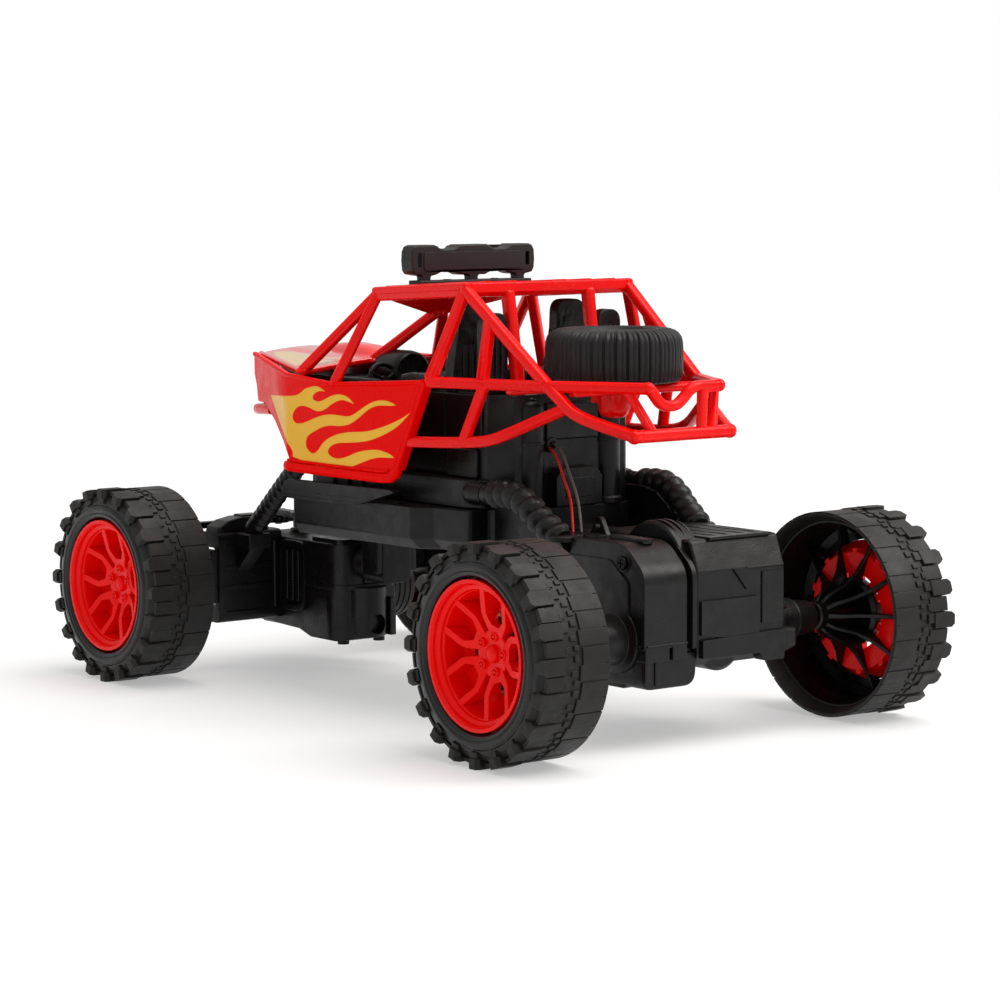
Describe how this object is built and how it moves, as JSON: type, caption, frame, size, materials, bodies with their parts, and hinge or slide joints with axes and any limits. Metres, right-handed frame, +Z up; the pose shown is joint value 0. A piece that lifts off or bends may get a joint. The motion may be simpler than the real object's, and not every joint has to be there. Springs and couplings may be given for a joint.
{
  "type": "remote control car",
  "caption": "Off-road remote control car with open roll cage, hollow lugged wheels, rocking geared axles and linked front steering.",
  "frame": {"origin": "on the ground plane, on the car's centreline, midway between the axles", "axes": "+X to the front of the car, +Y to its left side, +Z up"},
  "size_m": [0.2698, 0.1618, 0.1472],
  "materials": {
    "tyre_rubber": "satin black rubber",
    "wheel_core_plastic": "semi-gloss black moulding",
    "rim_red": "gloss red moulding",
    "steel": "bright drawn steel",
    "gear_plastic": "natural nylon",
    "pinion_brass": "machined brass",
    "motor_can": "zinc plated can",
    "axle_plastic": "satin black moulding",
    "servo_case": "dark grey moulding",
    "chassis_plastic": "satin black moulding",
    "interior_plastic": "satin black moulding",
    "battery_wrap": "shrink wrap",
    "board_green": "solder mask",
    "switch_plastic": "matt black moulding",
    "seat_plastic": "satin black moulding",
    "body_red": "gloss red with yellow flame decoration",
    "cage_red": "semi-gloss red moulding",
    "spare_rubber": "satin black rubber",
    "light_bar_plastic": "semi-gloss black moulding",
    "lens_clear": "clear lens",
    "boot_rubber": "ribbed black rubber",
    "lead_red": "red insulation",
    "lead_grey": "grey insulation",
    "screw_steel": "blackened steel"
  },
  "bodies": {
    "chassis": {"chassis_tray": "chassis_plastic", "battery_cover": "chassis_plastic", "chassis_tower": "chassis_plastic", "inner_body": "interior_plastic", "axle_pivot_pins": "steel", "battery_pack": "battery_wrap", "circuit_board": "board_green", "seat_left": "seat_plastic", "seat_right": "seat_plastic", "side_panel_left": "body_red", "side_panel_right": "body_red", "hood_shell": "body_red", "front_bumper": "cage_red", "cage_left": "cage_red", "cage_right": "cage_red", "roof_panel": "cage_red", "rear_rack": "cage_red", "spare_tyre": "spare_rubber", "light_bar": "light_bar_plastic", "light_lenses": "lens_clear", "rear_boot_left": "boot_rubber", "rear_boot_right": "boot_rubber", "front_boot_left": "boot_rubber", "front_boot_right": "boot_rubber", "red_lead": "lead_red", "grey_lead": "lead_grey", "body_screws": "screw_steel"},
    "switch": {"power_switch": "switch_plastic"},
    "front_axle": {"front_gearbox_upper": "axle_plastic", "front_gearbox_lower": "axle_plastic", "front_axle_beam": "axle_plastic", "front_motor": "motor_can", "steering_servo": "servo_case", "front_axle_screws": "screw_steel"},
    "knuckle_left": {"knuckle_left": "axle_plastic"},
    "knuckle_right": {"knuckle_right": "axle_plastic"},
    "tie_rod": {"tie_rod": "axle_plastic"},
    "servo_arm": {"servo_arm": "axle_plastic"},
    "wheel_front_left": {"tyre_front_left": "tyre_rubber", "wheel_core_front_left": "wheel_core_plastic", "rim_front_left": "rim_red"},
    "wheel_front_right": {"tyre_front_right": "tyre_rubber", "wheel_core_front_right": "wheel_core_plastic", "rim_front_right": "rim_red"},
    "front_drive": {"front_drive_shaft": "steel"},
    "front_idler": {"front_idler_gear": "gear_plastic"},
    "front_pinion": {"front_pinion": "pinion_brass"},
    "rear_axle": {"rear_gearbox_left": "axle_plastic", "rear_gearbox_right": "axle_plastic", "rear_motor": "motor_can", "rear_case_screws": "screw_steel"},
    "rear_wheelset": {"rear_axle_shaft": "steel", "tyre_rear_left": "tyre_rubber", "wheel_core_rear_left": "wheel_core_plastic", "rim_rear_left": "rim_red", "tyre_rear_right": "tyre_rubber", "wheel_core_rear_right": "wheel_core_plastic", "rim_rear_right": "rim_red"},
    "rear_idler": {"rear_idler_gear": "gear_plastic"},
    "rear_pinion": {"rear_pinion": "pinion_brass"}
  },
  "joints": [
    {"name": "power_switch_slide", "type": "slide", "parent": "chassis", "child": "switch", "axis": [1, 0, 0], "range_m": [0, 0.0032]},
    {"name": "front_axle_roll", "type": "hinge", "parent": "chassis", "child": "front_axle", "pos_m": [0.06, 0, 0.038], "axis": [1, 0, 0], "range_deg": [-10, 10], "stiffness_Nm_per_rad": 0.9, "deforming": ["front_boot_left", "front_boot_right"]},
    {"name": "rear_axle_roll", "type": "hinge", "parent": "chassis", "child": "rear_axle", "pos_m": [-0.066, 0, 0.051], "axis": [1, 0, 0], "range_deg": [-10, 10], "stiffness_Nm_per_rad": 0.9, "deforming": ["rear_boot_left", "rear_boot_right", "red_lead", "grey_lead"]},
    {"name": "knuckle_left_steer", "type": "hinge", "parent": "front_axle", "child": "knuckle_left", "pos_m": [0.1024, 0.047, 0.0325], "axis": [0, 0, 1], "range_deg": [-25, 25]},
    {"name": "knuckle_right_steer", "type": "hinge", "parent": "front_axle", "child": "knuckle_right", "pos_m": [0.1024, -0.047, 0.0325], "axis": [0, 0, 1], "range_deg": [-25, 25]},
    {"name": "servo_arm_turn", "type": "hinge", "parent": "front_axle", "child": "servo_arm", "pos_m": [0.1024, 0, 0.05], "axis": [0, 0, 1], "range_deg": [-25, 25]},
    {"name": "tie_rod_slide", "type": "slide", "parent": "front_axle", "child": "tie_rod", "axis": [0, 1, 0], "range_m": [-0.00595, 0.00595]},
    {"name": "wheel_front_left_spin", "type": "hinge", "parent": "knuckle_left", "child": "wheel_front_left", "pos_m": [0.1024, 0.06, 0.0325], "axis": [0, 1, 0], "continuous": true},
    {"name": "wheel_front_right_spin", "type": "hinge", "parent": "knuckle_right", "child": "wheel_front_right", "pos_m": [0.1024, -0.06, 0.0325], "axis": [0, 1, 0], "continuous": true},
    {"name": "front_drive_spin", "type": "hinge", "parent": "front_axle", "child": "front_drive", "pos_m": [0.1024, 0, 0.0325], "axis": [0, 1, 0], "continuous": true},
    {"name": "front_idler_spin", "type": "hinge", "parent": "front_axle", "child": "front_idler", "pos_m": [0.0895, 0.006, 0.0293], "axis": [0, 1, 0], "continuous": true},
    {"name": "front_pinion_spin", "type": "hinge", "parent": "front_axle", "child": "front_pinion", "pos_m": [0.0786, 0.004, 0.0278], "axis": [0, 1, 0], "continuous": true},
    {"name": "rear_wheels_spin", "type": "hinge", "parent": "rear_axle", "child": "rear_wheelset", "pos_m": [-0.1024, 0, 0.0325], "axis": [0, 1, 0], "continuous": true},
    {"name": "rear_idler_spin", "type": "hinge", "parent": "rear_axle", "child": "rear_idler", "pos_m": [-0.094, 0.008, 0.0428], "axis": [0, 1, 0], "continuous": true},
    {"name": "rear_pinion_spin", "type": "hinge", "parent": "rear_axle", "child": "rear_pinion", "pos_m": [-0.0836, 0.006, 0.04638], "axis": [0, 1, 0], "continuous": true}
  ],
  "couplings": [
    {"joint": "knuckle_right_steer", "follows": "knuckle_left_steer", "ratio": 1},
    {"joint": "servo_arm_turn", "follows": "knuckle_left_steer", "ratio": 1},
    {"joint": "tie_rod_slide", "follows": "knuckle_left_steer", "m_per_rad": 0.01356},
    {"joint": "wheel_front_right_spin", "follows": "wheel_front_left_spin", "ratio": 1},
    {"joint": "front_drive_spin", "follows": "wheel_front_left_spin", "ratio": 1},
    {"joint": "front_idler_spin", "follows": "wheel_front_left_spin", "ratio": -2.8},
    {"joint": "front_pinion_spin", "follows": "wheel_front_left_spin", "ratio": 9.52},
    {"joint": "rear_idler_spin", "follows": "rear_wheels_spin", "ratio": -2.8},
    {"joint": "rear_pinion_spin", "follows": "rear_wheels_spin", "ratio": 9.52}
  ]
}
